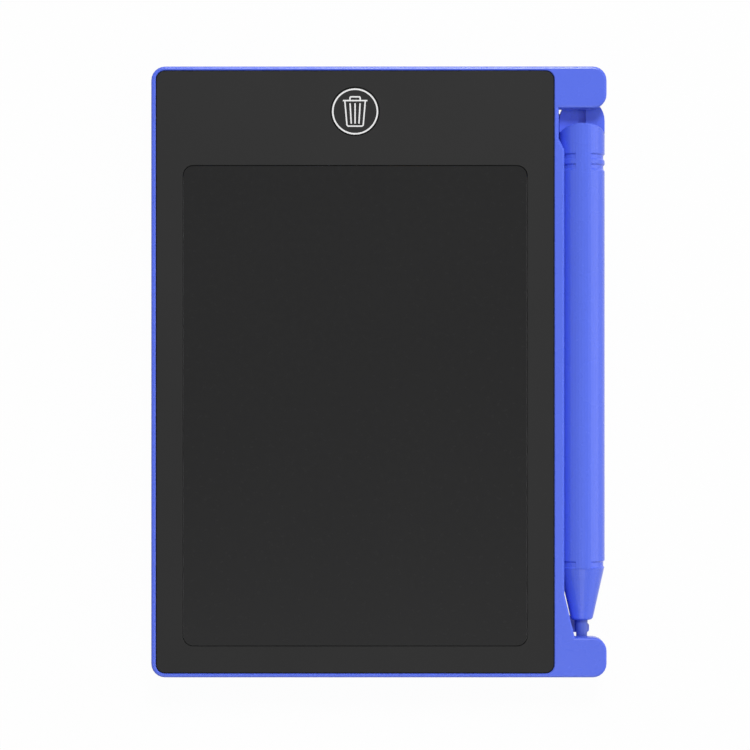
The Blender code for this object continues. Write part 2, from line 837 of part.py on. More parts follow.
def front_frame():
    frame = place(
        "front_frame",
        soft_prism(
            rounded(frame_x0, frame_y0, frame_x1, frame_y1, FRAME_CORNER),
            frame_back, frame_front, high_radius=FRAME_EDGE,
        ),
        "black_frame",
    )
    pocket = rounded(
        board_x0, board_y0, board_x1, window_y1 + BOARD_MARGIN, BOARD_CORNER + PART_GAP, -PART_GAP
    )
    hole = BUTTON_RADIUS + BUTTON_GAP
    cut(
        frame,
        prism(pocket, frame_back - OVERRUN, lip_back),
        eased_opening(
            window_x0, window_y0, window_x1, window_y1, WINDOW_CORNER, lip_back - JOIN, frame_front,
            WINDOW_EDGE,
        ),
        turned_z(
            [
                (0, frame_back - OVERRUN), (hole, frame_back - OVERRUN),
                (hole, frame_front + OVERRUN), (0, frame_front + OVERRUN),
            ],
            button_x, button_y, ROUND,
        ),
    )
    fuse(frame, *[hook(side, share) for side, share in hook_places()])
    return frame


def lcd_tape():
    """The adhesive frame that holds the panel's edges down on the backing board."""
    tape = place(
        "lcd_tape",
        prism(rounded(film_x0, film_y0, film_x1, board_y1, film_corner), tape_top - TAPE, tape_top),
        "white_tape",
    )
    opening = rectangle(
        film_x0 + TAPE_WIDTH, film_y0 + TAPE_WIDTH, film_x1 - TAPE_WIDTH, board_y1 - TAPE_WIDTH
    )
    cut(tape, prism(opening, tape_top - TAPE - OVERRUN, tape_top + OVERRUN))
    return tape


def panel_film(name, top):
    """One of the two films that fill the window."""
    outline = rounded(film_x0, film_y0, film_x1, film_y1, film_corner)
    return place(name, prism(outline, top - FILM, top), "screen_film")


def backing_board():
    """The board under the panel, wider than the window, so that the frame holds it down."""
    outline = rounded(board_x0, board_y0, board_x1, board_y1, BOARD_CORNER)
    return place("backing_board", prism(outline, board_top - BOARD, board_top), "grey_board")


def lcd_flex_tail():
    """The ribbon from the back film's upper edge, under the frame, down to the circuit board."""
    level = tape_top - TAIL / 2
    rest = on_pcb + TAIL / 2
    bend = (pcb_y0 - film_y1) / 4
    points = [
        (film_y1 - TAIL_LAP, level),
        (film_y1 - bend / 2, level),
        (film_y1 + bend / 3, lip_back - PART_GAP - TAIL),
        (film_y1 + bend * 2, (level + rest) / 2),
        (pcb_y0 - bend / 2, rest + bend / 4),
        (pcb_y0, rest),
        (pcb_y0 + TAIL_LAP, rest),
    ]
    x = button_x + PCB_WIDTH * TAIL_OFFSET_SHARE
    return place("lcd_flex_tail", ribbon(points, TAIL, x - TAIL_WIDTH / 2, x + TAIL_WIDTH / 2), "polyimide")


# Erase button and switch


def button_cap():
    """A hollow cap held by a flange behind the frame, with a stem over the switch."""
    profile = [
        (0, frame_front),
        (BUTTON_RADIUS - BUTTON_EDGE, frame_front),
        (BUTTON_RADIUS, frame_front - BUTTON_EDGE),
        (BUTTON_RADIUS, flange_top),
        (BUTTON_RADIUS + BUTTON_FLANGE_LAP, flange_top),
        (BUTTON_RADIUS + BUTTON_FLANGE_LAP, flange_bottom),
        (BUTTON_RADIUS - BUTTON_WALL, flange_bottom),
        (BUTTON_RADIUS - BUTTON_WALL, frame_front - BUTTON_FACE),
        (BUTTON_STEM, frame_front - BUTTON_FACE),
        (BUTTON_STEM, flange_bottom),
        (0, flange_bottom),
    ]
    return place("button_cap", turned_z(profile, button_x, button_y, ROUND), "black_frame")


def switch_base():
    half = SWITCH_SIDE / 2
    base = place(
        "switch_base",
        block(button_x - half, button_y - half, switch_bottom, button_x + half, button_y + half, switch_top),
        "black_resin",
    )
    cut(base, bore(button_x, button_y, SWITCH_WELL, switch_well_floor, switch_top + OVERRUN))
    return base


def switch_dome():
    """The snap dome: a domed disc of spring sheet that the plunger presses."""
    rise = DOME_RISE
    profile = [(0, dome_top), (DOME_RADIUS / 2, dome_top - rise / 4), (DOME_RADIUS, dome_top - rise)]
    under = [(radius, height - DOME_SHEET) for radius, height in profile[::-1]]
    return place("switch_dome", turned_z(profile + under, button_x, button_y), "sheet_steel")


def switch_plunger():
    flange_level = switch_top
    profile = [
        (0, plunger_top),
        (PLUNGER_RADIUS, plunger_top),
        (PLUNGER_RADIUS, flange_level),
        (PLUNGER_FLANGE_RADIUS, flange_level),
        (PLUNGER_FLANGE_RADIUS, plunger_flange_bottom),
        (0, plunger_flange_bottom),
    ]
    return place("switch_plunger", turned_z(profile, button_x, button_y), "black_resin")


def switch_cover():
    half = SWITCH_SIDE / 2
    cover = place(
        "switch_cover",
        block(
            button_x - half, button_y - half, cover_top - SWITCH_COVER,
            button_x + half, button_y + half, cover_top,
        ),
        "sheet_steel",
    )
    cut(cover, bore(
        button_x, button_y, SWITCH_COVER_HOLE, cover_top - SWITCH_COVER - OVERRUN, cover_top + OVERRUN
    ))
    return cover


# Circuit board


def circuit_board():
    board = place("circuit_board", block(pcb_x0, pcb_y0, pcb_bottom, pcb_x1, pcb_y1, pcb_top), "green_board")
    for x in pcb_screw_xs:
        cut(board, bore(x, button_y, SCREW_RADIUS + SEAT_GAP, pcb_bottom - OVERRUN, pcb_top + OVERRUN))
    return board


def pcb_screw(name, x):
    """A pan-head screw with a slot, in its boss."""
    top = on_pcb + SCREW_HEAD
    tip = PILOT_FLOOR + SEAT_GAP
    profile = [
        (0, top),
        (SCREW_HEAD_RADIUS - SCREW_HEAD / 3, top),
        (SCREW_HEAD_RADIUS, top - SCREW_HEAD / 2),
        (SCREW_HEAD_RADIUS, on_pcb),
        (SCREW_RADIUS, on_pcb),
        (SCREW_RADIUS, tip + SCREW_RADIUS / 2),
        (SCREW_RADIUS / 2, tip),
        (0, tip),
    ]
    screw = place(name, turned_z(profile, x, button_y), "steel")
    cut(screw, block(
        x - SCREW_HEAD_RADIUS - OVERRUN, button_y - SCREW_SLOT / 2, top - SCREW_SLOT_DEPTH,
        x + SCREW_HEAD_RADIUS + OVERRUN, button_y + SCREW_SLOT / 2, top + OVERRUN,
    ))
    return screw


def controller_chip(x):
    """A chip bonded to the board under a low dome of resin."""
    profile = [
        (0, on_pcb + CHIP_HEIGHT),
        (CHIP_RADIUS / 2, on_pcb + CHIP_HEIGHT - CHIP_HEIGHT / 8),
        (CHIP_RADIUS - CHIP_RADIUS / 8, on_pcb + CHIP_HEIGHT / 2),
        (CHIP_RADIUS, on_pcb),
        (0, on_pcb),
    ]
    return place("controller_chip", turned_z(profile, x, button_y), "black_resin")


def boost_coil(x):
    """A drum core, waisted where the wire is wound."""
    profile = [
        (0, on_pcb + COIL_HEIGHT),
        (COIL_RADIUS, on_pcb + COIL_HEIGHT),
        (COIL_RADIUS, on_pcb + COIL_HEIGHT - COIL_FLANGE),
        (COIL_RADIUS - COIL_WAIST, on_pcb + COIL_HEIGHT - COIL_FLANGE),
        (COIL_RADIUS - COIL_WAIST, on_pcb + COIL_FLANGE),
        (COIL_RADIUS, on_pcb + COIL_FLANGE),
        (COIL_RADIUS, on_pcb),
        (0, on_pcb),
    ]
    return place("boost_coil", turned_z(profile, x, button_y), "ferrite")


def small_part(name, x, y, length, width, height, slot):
    """A box-shaped part soldered flat to the board."""
    return place(
        name,
        block(x - length / 2, y - width / 2, on_pcb, x + length / 2, y + width / 2, on_pcb + height),
        slot,
    )


def leaded_part(name, x, y, length, width, height, leads):
    """A resin body with flat leads standing out at both sides."""
    part = small_part(name, x, y, length, width, height, "black_resin")
    for lead_x, side in leads:
        near, far = sorted((y + side * (width / 2 - LEAD_LENGTH), y + side * (width / 2 + LEAD_LENGTH)))
        fuse(part, block(
            lead_x - LEAD_WIDTH / 2, near, on_pcb, lead_x + LEAD_WIDTH / 2, far, on_pcb + LEAD_HEIGHT
        ))
    return part


def board_parts():
    """The driver circuit: chip, coil, capacitors, diode and transistor, each in its own place."""
    half_switch = SWITCH_SIDE / 2
    high_y = button_y + PCB_LENGTH / 3
    chip_x = pcb_screw_xs[0] + SCREW_HEAD_RADIUS + PART_GAP + CHIP_RADIUS
    coil_x = pcb_screw_xs[1] - SCREW_HEAD_RADIUS - PART_GAP - COIL_RADIUS
    right = button_x + half_switch + PART_GAP + TRANSISTOR_LENGTH / 2
    lead_spread = TRANSISTOR_LENGTH / 3
    transistor_leads = [
        (right - lead_spread, -1), (right + lead_spread, -1), (right, 1),
    ]
    diode_x = button_x - half_switch - PART_GAP - DIODE_LENGTH / 2
    parts = [
        controller_chip(chip_x),
        boost_coil(coil_x),
        leaded_part(
            "driver_transistor", right, high_y, TRANSISTOR_LENGTH, TRANSISTOR_WIDTH, TRANSISTOR_HEIGHT,
            transistor_leads,
        ),
        leaded_part(
            "boost_diode", diode_x, high_y, DIODE_LENGTH, DIODE_WIDTH, DIODE_HEIGHT,
            [(diode_x, -1), (diode_x, 1)],
        ),
    ]
    spots = (
        ("ceramic_capacitor_1", chip_x, high_y),
        ("ceramic_capacitor_2", button_x + half_switch + PART_GAP + CAPACITOR_LENGTH / 2, button_y),
        ("ceramic_capacitor_3", coil_x, high_y),
    )
    for name, x, y in spots:
        parts.append(small_part(
            name, x, y, CAPACITOR_LENGTH, CAPACITOR_WIDTH, CAPACITOR_HEIGHT, "ceramic_tan"
        ))
    return parts


# Coin cell and contacts


def coin_cell():
    """The can, the gasket ring and the cap, which stands for the cell's filling too."""
    can_top = cell_top - CELL_CAN_DROP * 2
    inner = CELL_RADIUS - CELL_CAN
    gasket_in = inner - SEAT_GAP - CELL_GASKET
    cap_radius = gasket_in - SEAT_GAP
    floor = cell_bottom + CELL_CAN
    can = turned_z(
        [
            (0, cell_bottom), (CELL_RADIUS - CELL_CAN, cell_bottom),
            (CELL_RADIUS, cell_bottom + CELL_CAN), (CELL_RADIUS, can_top),
            (inner, can_top), (inner, floor), (0, floor),
        ],
        cell_x, cell_y, ROUND,
    )
    gasket = turned_z(
        [
            (inner - SEAT_GAP, floor + SEAT_GAP), (inner - SEAT_GAP, cell_top - CELL_CAN_DROP),
            (gasket_in, cell_top - CELL_CAN_DROP), (gasket_in, floor + SEAT_GAP),
        ],
        cell_x, cell_y, ROUND, closed=True,
    )
    cap = turned_z(
        [
            (0, floor + SEAT_GAP), (cap_radius, floor + SEAT_GAP), (cap_radius, cell_top - CELL_CAN),
            (cap_radius - CELL_CAN, cell_top), (0, cell_top),
        ],
        cell_x, cell_y, ROUND,
    )
    return [
        place("coin_cell_can", can, "steel"),
        place("coin_cell_gasket", gasket, "gasket"),
        place("coin_cell_cap", cap, "cell_cap"),
    ]


def contact_route():
    """The way of both contacts from the compartment's wall down to the circuit board."""
    rest = on_pcb + CONTACT / 2
    return [
        (well_y1 + WELL_WALL + PART_GAP, contact_level + CONTACT / 2),
        (pcb_y0, rest),
        (pcb_y0 + CONTACT_LAP, rest),
    ]


def negative_contact():
    """A spring finger bent down on the cell's cap."""
    level = contact_level + CONTACT / 2
    touch = cell_top + SEAT_GAP + CONTACT / 2
    points = [
        (cell_y - NEGATIVE_REACH / 3, touch + CONTACT),
        (cell_y, touch),
        (cell_y + NEGATIVE_REACH, level),
    ] + contact_route()
    half = CONTACT_WIDTH / 2
    return place("negative_contact", ribbon(points, CONTACT, negative_x - half, negative_x + half), "sheet_steel")


def positive_contact():
    """A leaf standing against the can's side."""
    level = contact_level + CONTACT / 2
    leaf_y = cell_y + CELL_RADIUS + SEAT_GAP * 2 + CONTACT / 2
    points = [
        (leaf_y, cell_top - POSITIVE_DROP),
        (leaf_y, level),
    ] + contact_route()
    half = CONTACT_WIDTH / 2
    return place("positive_contact", ribbon(points, CONTACT, positive_x - half, positive_x + half), "sheet_steel")


# Battery door


def battery_door():
    """The cover with two tabs at its left edge and a screw hole at its right."""
    outline = rounded(door_x0, door_y0, door_x1, door_y1, DOOR_CORNER)
    door = place(
        "battery_door", soft_prism(outline, DOOR_SINK, BACK_WALL, low_radius=DOOR_EDGE), "blue_shell"
    )
    for y in tab_ys:
        fuse(door, block(
            door_x0 - TAB_REACH, y - TAB_WIDTH / 2, tab_bottom,
            door_x0 + JOIN * 2, y + TAB_WIDTH / 2, tab_bottom + TAB_THICKNESS,
        ))
    head_room = DOOR_SINK + DOOR_SCREW_HEAD + SEAT_GAP
    cut(
        door,
        bore(door_screw_x, door_screw_y, DOOR_SCREW_RADIUS + DOOR_GAP, -OVERRUN, BACK_WALL + OVERRUN),
        bore(door_screw_x, door_screw_y, DOOR_SCREW_HEAD_RADIUS + DOOR_GAP, -OVERRUN, head_room),
    )
    hang(door, door_x0, door_screw_y, DOOR_SINK)
    return door


def door_screw():
    """The captive screw, its cross-slotted head sunk in the door."""
    low = DOOR_SINK
    under_head = low + DOOR_SCREW_HEAD
    tip = under_head + DOOR_SCREW_LENGTH
    profile = [
        (0, low),
        (DOOR_SCREW_HEAD_RADIUS, low),
        (DOOR_SCREW_HEAD_RADIUS, under_head),
        (DOOR_SCREW_RADIUS, under_head),
        (DOOR_SCREW_RADIUS, tip - DOOR_SCREW_RADIUS / 2),
        (DOOR_SCREW_RADIUS / 2, tip),
        (0, tip),
    ]
    screw = place("door_screw", turned_z(profile, door_screw_x, door_screw_y), "steel")
    half = SCREW_SLOT / 2
    arm = DOOR_SCREW_HEAD_RADIUS - DOOR_SCREW_HEAD_RADIUS / 3
    depth = low + DOOR_SCREW_HEAD / 2
    for reach_x, reach_y in ((arm, half), (half, arm)):
        cut(screw, block(
            door_screw_x - reach_x, door_screw_y - reach_y, -OVERRUN,
            door_screw_x + reach_x, door_screw_y + reach_y, depth,
        ))
    hang(screw, door_screw_x, door_screw_y, DOOR_SINK)
    return screw


# Stylus


def grip_groove(y, width, side):
    """A shallow groove round one side of the barrel, steeper above than below."""
    floor = STYLUS_RADIUS - GROOVE_DEPTH
    outer = STYLUS_RADIUS + GROOVE_DEPTH
    high, low = y + width / 2, y - width / 2
    section = [
        (floor, low + GROOVE_LOWER_DRAFT),
        (outer, low - GROOVE_LOWER_DRAFT),
        (outer, high + GROOVE_UPPER_DRAFT),
        (floor, high - GROOVE_UPPER_DRAFT),
    ]
    rings = []
    for step in range(SMALL_ROUND + 1):
        angle = math.radians(GROOVE_START_DEG + (180 - GROOVE_START_DEG * 2) * step / SMALL_ROUND)
        ring = []
        for radius, place_y in section:
            ring.append((
                stylus_x + side * radius * math.sin(angle), place_y, stylus_z + radius * math.cos(angle)
            ))
        rings.append(ring)
    return skin(rings)


def stylus_barrel():
    """A tube with an oblique upper end and a coned lower end, bored for the plug and the nib."""
    bore_end = cone_start_y - STYLUS_BORE_END
    hole = NIB_RADIUS + SEAT_GAP
    hole_end = cone_tip_y + NIB_ROOT + SEAT_GAP
    profile = [
        (0, bore_end, False),
        (STYLUS_BORE, bore_end, False),
        (STYLUS_BORE, barrel_top_y, True),
        (STYLUS_RADIUS - BARREL_EDGE, barrel_top_y, True),
        (STYLUS_RADIUS - BARREL_EDGE / 3, barrel_top_y - BARREL_EDGE / 3, True),
        (STYLUS_RADIUS, barrel_top_y - BARREL_EDGE, True),
        (STYLUS_RADIUS, cone_start_y + CONE_STEP, False),
        (cone_start_radius, cone_start_y, False),
    ]
    for radius, y in arc(
        CONE_TIP_RADIUS - CONE_TIP_ROUND, cone_tip_y + CONE_TIP_ROUND, CONE_TIP_ROUND, 0, -90, FILLET
    ):
        profile.append((radius, y, False))
    profile += [(hole, cone_tip_y, False), (hole, hole_end, False), (0, hole_end, False)]
    barrel = place("stylus_barrel", turned_stylus(profile), "blue_shell")
    first = barrel_top_y - GROOVE_DROP
    grooves = (
        (first, GROOVE_WIDTH), (first - GROOVE_PITCH, GROOVE_WIDTH),
        (cone_start_y + LOWER_GROOVE_RISE, LOWER_GROOVE_WIDTH),
    )
    for y, width in grooves:
        for side in (-1, 1):
            cut(barrel, grip_groove(y, width, side))
    return barrel


def stylus_head():
    """The domed end, cut flat in front to pass under the hood, with a keyway and its plug."""
    seam = barrel_top_y + PART_GAP / 2
    profile = [(0, seam, True), (STYLUS_RADIUS, seam, True)]
    for radius, y in arc(0, dome_y, STYLUS_RADIUS, 0, 90, CORNER + FILLET):
        profile.append((radius, y, False))
    profile[-1] = (0, head_end_y, False)
    head = place("stylus_head", turned_stylus(profile), "blue_shell")
    reach = STYLUS_RADIUS + OVERRUN
    flat_y = barrel_top_y + PART_GAP / 2 - (stylus_z + STYLUS_RADIUS - head_flat_z) * cut_slope
    end = head_end_y + OVERRUN
    cut(
        head,
        block(stylus_x - reach, flat_y - reach, head_flat_z, stylus_x + reach, end, case_depth + OVERRUN),
        block(
            stylus_x - KEYWAY_WIDTH / 2, flat_y, head_flat_z - KEYWAY_DEPTH,
            stylus_x + KEYWAY_WIDTH / 2, end, case_depth,
        ),
    )
    plug = STYLUS_BORE - PART_GAP / 2
    plug_top = flat_y - SEAT_GAP
    fuse(head, turned_stylus([
        (0, plug_top - PLUG_LENGTH, False),
        (plug - BARREL_EDGE, plug_top - PLUG_LENGTH, False),
        (plug, plug_top - PLUG_LENGTH + BARREL_EDGE, False),
        (plug, plug_top, False),
        (0, plug_top, False),
    ]))
    return head


def stylus_nib():
    """The writing point, pressed into the cone."""
    root = cone_tip_y + NIB_ROOT
    profile = [(0, root, False), (NIB_RADIUS, root, False), (NIB_RADIUS, cone_tip_y, False)]
    for radius, y in arc(
        0, nib_end_y + NIB_END_RADIUS, NIB_END_RADIUS, 0, -90, FILLET + 1
    ):
        profile.append((radius, y, False))
    profile[-1] = (0, nib_end_y, False)
    return place("stylus_nib", turned_stylus(profile, SMALL_ROUND), "blue_shell")


def build():
    for thing in list(bpy.data.objects):
        bpy.data.objects.remove(thing, do_unlink=True)
    rear_case()
    front_frame()
    lcd_tape()
    panel_film("lcd_front_film", front_film_top)
    panel_film("lcd_back_film", back_film_top)
    backing_board()
    lcd_flex_tail()
    circuit_board()
    board_parts()
    pcb_screw("pcb_screw_left", pcb_screw_xs[0])
    pcb_screw("pcb_screw_right", pcb_screw_xs[1])
    switch_base()
    switch_dome()
    switch_cover()
    button_cap()
    switch_plunger()
    coin_cell()
    negative_contact()
    positive_contact()
    battery_door()
    door_screw()
    stylus_barrel()
    stylus_head()
    stylus_nib()
    settle([thing for thing in bpy.data.objects if thing.display_type != "WIRE"])


build()
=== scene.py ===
import json
import math

import bmesh
import bpy
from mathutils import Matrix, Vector


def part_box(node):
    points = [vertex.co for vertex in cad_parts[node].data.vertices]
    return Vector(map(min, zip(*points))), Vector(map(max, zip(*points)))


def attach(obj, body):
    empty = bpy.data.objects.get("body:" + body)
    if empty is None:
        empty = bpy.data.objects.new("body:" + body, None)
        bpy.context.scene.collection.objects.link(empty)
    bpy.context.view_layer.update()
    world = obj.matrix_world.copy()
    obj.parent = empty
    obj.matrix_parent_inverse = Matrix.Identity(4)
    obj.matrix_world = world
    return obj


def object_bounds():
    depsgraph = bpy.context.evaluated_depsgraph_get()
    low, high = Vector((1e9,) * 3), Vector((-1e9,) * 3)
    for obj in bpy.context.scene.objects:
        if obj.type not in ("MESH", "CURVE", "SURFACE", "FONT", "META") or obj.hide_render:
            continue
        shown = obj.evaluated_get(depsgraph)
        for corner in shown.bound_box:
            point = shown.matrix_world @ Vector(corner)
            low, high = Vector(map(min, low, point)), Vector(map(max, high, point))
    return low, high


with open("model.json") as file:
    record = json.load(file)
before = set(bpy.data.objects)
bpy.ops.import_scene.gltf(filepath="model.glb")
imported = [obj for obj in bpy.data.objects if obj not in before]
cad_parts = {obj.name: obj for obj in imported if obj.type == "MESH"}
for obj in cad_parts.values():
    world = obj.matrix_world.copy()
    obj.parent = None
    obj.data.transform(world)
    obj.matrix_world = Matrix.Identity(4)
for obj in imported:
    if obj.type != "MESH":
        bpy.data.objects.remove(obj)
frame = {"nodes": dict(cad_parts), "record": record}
cad_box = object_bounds()

# Lengths are in metres, unless a comment says mm
MM = 0.001

scene = bpy.context.scene
nodes = frame["nodes"]


# Shader nodes


def feed(tree, node, inputs):
    """Gives each input its value, or links it where a socket is given."""
    for key, value in inputs.items():
        if isinstance(value, bpy.types.NodeSocket):
            tree.links.new(value, node.inputs[key])
        else:
            node.inputs[key].default_value = value
    return node


def add_node(tree, kind, inputs):
    return feed(tree, tree.nodes.new(kind), inputs)


def new_material(name):
    """A new material, its node tree and the tree's Principled shader."""
    made = bpy.data.materials.new(name)
    made.use_nodes = True
    tree = made.node_tree
    return made, tree, tree.nodes["Principled BSDF"]


def object_space(tree):
    return tree.nodes.new("ShaderNodeTexCoord").outputs["Object"]


def noise(tree, where, scale, detail=2.0, roughness=0.5):
    """A noise texture, with its scale per metre."""
    inputs = {"Vector": where, "Scale": scale, "Detail": detail, "Roughness": roughness}
    return add_node(tree, "ShaderNodeTexNoise", inputs).outputs["Fac"]


NOISE_LOW, NOISE_HIGH = 0.3, 0.7  # most of a noise's values lie between these


def spread(tree, value, low, high):
    """A noise, taken from its usual range to another one."""
    inputs = {
        "Value": value,
        "From Min": NOISE_LOW,
        "From Max": NOISE_HIGH,
        "To Min": low,
        "To Max": high,
    }
    return add_node(tree, "ShaderNodeMapRange", inputs).outputs["Result"]


def blend_colours(tree, value, low, high):
    """One colour where a noise is low, and another where it is high."""
    node = tree.nodes.new("ShaderNodeMix")
    node.data_type = "RGBA"
    feed(tree, node, {"Factor": spread(tree, value, 0, 1), "A": (*low, 1), "B": (*high, 1)})
    return node.outputs["Result"]


def drift(tree, value, colour, less, more):
    """A colour that drifts with a noise, between less and more times itself."""
    low = tuple(c * less for c in colour)
    high = tuple(min(1, c * more) for c in colour)
    return blend_colours(tree, value, low, high)


def bump(tree, shader, height, depth, strength):
    inputs = {"Height": height, "Distance": depth, "Strength": strength}
    feed(tree, shader, {"Normal": add_node(tree, "ShaderNodeBump", inputs).outputs["Normal"]})


# Materials

PLASTIC_ROUGHNESS_SHIFT = 0.03  # either way
METAL_SMOOTHER, METAL_ROUGHER = 0.08, 0.1


def moulded(name, colour, roughness, grain=2600, depth=0.012 * MM, shift=0.03, gloss=0.5):
    """Moulded plastic: a fine spark-eroded grain, and a slow drift of colour and gloss."""
    made, tree, shader = new_material(name)
    where = object_space(tree)
    clouds = noise(tree, where, scale=38)
    streaks = noise(tree, where, scale=210, detail=3.0)
    pits = noise(tree, where, scale=grain, detail=3.0, roughness=0.6)
    smoother, rougher = roughness - PLASTIC_ROUGHNESS_SHIFT, roughness + PLASTIC_ROUGHNESS_SHIFT
    feed(tree, shader, {
        "Base Color": drift(tree, clouds, colour, less=1 - shift, more=1 + shift),
        "Roughness": spread(tree, streaks, smoother, rougher),
        "Specular IOR Level": gloss,
    })
    bump(tree, shader, pits, depth, strength=0.5)
    return made


def film(name, colour, roughness, gloss):
    """A smooth plastic film with the faintest orange peel."""
    made, tree, shader = new_material(name)
    where = object_space(tree)
    clouds = noise(tree, where, scale=30, detail=3.0)
    haze = noise(tree, where, scale=900)
    peel = noise(tree, where, scale=420)
    smoother, rougher = roughness - PLASTIC_ROUGHNESS_SHIFT, roughness + PLASTIC_ROUGHNESS_SHIFT
    feed(tree, shader, {
        "Base Color": drift(tree, clouds, colour, less=0.97, more=1.03),
        "Roughness": spread(tree, haze, smoother, rougher),
        "Specular IOR Level": gloss,
    })
    bump(tree, shader, peel, depth=0.004 * MM, strength=0.4)
    return made


def metal(name, colour, roughness, brushed):
    """Plated metal with fine lines, drawn out along the axis that is scaled down."""
    made, tree, shader = new_material(name)
    where = object_space(tree)
    along = add_node(tree, "ShaderNodeMapping", {"Vector": where, "Scale": brushed})
    lines = noise(tree, along.outputs["Vector"], scale=1600, detail=3.0)
    clouds = noise(tree, where, scale=160)
    feed(tree, shader, {
        "Base Color": drift(tree, clouds, colour, less=0.92, more=1),
        "Roughness": spread(tree, lines, roughness - METAL_SMOOTHER, roughness + METAL_ROUGHER),
        "Metallic": 1.0,
    })
    bump(tree, shader, lines, depth=0.006 * MM, strength=0.35)
    return made


def fibre_board(name):
    """Green solder resist over woven glass cloth."""
    made, tree, shader = new_material(name)
    where = object_space(tree)
    weave = add_node(tree, "ShaderNodeTexBrick", {
        "Vector": where,
        "Scale": 900,
        "Mortar Size": 0.03,
        "Color1": (0.012, 0.12, 0.04, 1),
        "Color2": (0.018, 0.16, 0.055, 1),
        "Mortar": (0.01, 0.09, 0.03, 1),
    })
    haze = noise(tree, where, scale=700)
    feed(tree, shader, {
        "Base Color": weave.outputs["Color"],
        "Roughness": spread(tree, haze, low=0.3, high=0.42),
    })
    bump(tree, shader, weave.outputs["Fac"], depth=0.01 * MM, strength=0.3)
    return made


def printing_ink(name):
    """Thin white ink with a fine tooth."""
    made, tree, shader = new_material(name)
    where = object_space(tree)
    specks = noise(tree, where, scale=3000)
    tooth = noise(tree, where, scale=4000)
    feed(tree, shader, {
        "Base Color": blend_colours(tree, specks, low=(0.76, 0.76, 0.76), high=(0.82, 0.82, 0.82)),
        "Roughness": 0.55,
    })
    bump(tree, shader, tooth, depth=0.004 * MM, strength=0.4)
    return made


BLUE = (0.079, 0.139, 0.765)
# The nib's blue is darker and greyer than the shell's: painted shade, for the shade the nib lies
# in under the stylus's cone
NIB_BLUE_PAINTED_SHADE = (0.074, 0.118, 0.50)
BLACK = (0.019, 0.019, 0.019)
SCREEN = (0.0110, 0.0110, 0.0112)

slot_looks = {
    "blue_shell": moulded(
        "blue_abs", BLUE, roughness=0.27, depth=0.006 * MM, gloss=0.42, shift=0.02
    ),
    "black_frame": moulded("black_abs", BLACK, roughness=0.5, gloss=0.12, shift=0.04),
    "screen_film": film("screen_film_look", SCREEN, roughness=0.25, gloss=0.15),
    "white_tape": moulded(
        "foam_tape", (0.6, 0.6, 0.57), roughness=0.8, grain=1500, depth=0.05 * MM
    ),
    "grey_board": moulded("grey_styrene", (0.3, 0.3, 0.31), roughness=0.55),
    "green_board": fibre_board("solder_resist"),
    "polyimide": film("amber_ribbon", (0.42, 0.18, 0.03), roughness=0.35, gloss=0.5),
    "black_resin": moulded("black_epoxy", (0.014, 0.014, 0.014), roughness=0.45, grain=4200),
    "ferrite": moulded(
        "ferrite_drum", (0.05, 0.045, 0.045), roughness=0.62, grain=3000, depth=0.03 * MM
    ),
    "ceramic_tan": moulded("fired_ceramic", (0.42, 0.3, 0.18), roughness=0.5, grain=5000),
    "steel": metal("plated_steel", (0.6, 0.6, 0.61), roughness=0.3, brushed=(1, 1, 1)),
    "sheet_steel": metal("spring_strip", (0.66, 0.62, 0.54), roughness=0.3, brushed=(1, 0.05, 1)),
    "cell_cap": metal("bright_cap", (0.68, 0.68, 0.68), roughness=0.24, brushed=(0.1, 1, 1)),
    "gasket": moulded("dark_seal", (0.03, 0.03, 0.03), roughness=0.6),
}
# The button's and the nib's finishes differ a little from those of their slots; the nib's darker,
# greyer blue is painted shade
node_looks = {
    "button_cap": moulded("button_abs", BLACK, roughness=0.47, gloss=0.12, shift=0.04),
    "stylus_nib": moulded(
        "nib_acetal_painted_shade", NIB_BLUE_PAINTED_SHADE, roughness=0.34, grain=5200, depth=0.006 * MM, gloss=0.3
    ),
}
for part in frame["record"]["subparts"]:
    look = node_looks.get(part["node"], slot_looks[part["material_slot"]])
    for place in nodes[part["node"]].material_slots:
        place.material = look


# The ring and the bin printed on the button, in mm about their centre, left halves only

PRINT_DROP = 0.03  # from the cap's centre
INK_HEIGHT = 0.015
ICON_STROKE, RING_STROKE = 0.26, 0.29
RING_RADIUS, RING_STEPS = 4.2, 96
LID_END = (-2.3, 2.05)
HANDLE_FOOT = (-0.96, 2.18)
HANDLE_BEND, HANDLE_BEND_RADIUS, HANDLE_BEND_STEPS = (-0.74, 2.54), 0.22, 4
BIN_RIM = (-1.92, 1.92)
BIN_BEND, BIN_BEND_RADIUS, BIN_BEND_STEPS = (-1.2, -2.42), 0.34, 5
BIN_SLANT_DEG = 5
RIB_TOP, RIB_FOOT = (-0.94, 1.55), (-0.73, -2.29)


def left_of(start, end):
    """The unit vector to the left of the way from start to end."""
    length = math.hypot(end[0] - start[0], end[1] - start[1])
    return (start[1] - end[1]) / length, (end[0] - start[0]) / length


def stroke(work, points, width, low, high, closed):
    """A line of constant width with mitred corners, raised from low to high."""
    lefts = [left_of(*way) for way in zip(points, points[1:])]
    if closed:
        lefts.append(left_of(points[-1], points[0]))
        corners = zip(lefts[-1:] + lefts[:-1], lefts)
    else:
        corners = zip(lefts[:1] + lefts, lefts + lefts[-1:])
    left_edge, right_edge = [], []
    for (x, y), (first, second) in zip(points, corners):
        scale = 1 + first[0] * second[0] + first[1] * second[1]
        aside = ((first[0] + second[0]) / scale, (first[1] + second[1]) / scale)
        left_edge.append((x + aside[0] * width / 2, y + aside[1] * width / 2))
        right_edge.append((x - aside[0] * width / 2, y - aside[1] * width / 2))
    edges = ((left_edge, low), (left_edge, high), (right_edge, high), (right_edge, low))
    rows = [[work.verts.new((x, y, height)) for x, y in edge] for edge, height in edges]
    for i in range(len(lefts)):
        j = (i + 1) % len(points)
        for one, other in zip(rows, rows[1:] + rows[:1]):
            work.faces.new((one[i], one[j], other[j], other[i]))
    if not closed:
        work.faces.new([row[0] for row in rows])
        work.faces.new([row[-1] for row in rows][::-1])


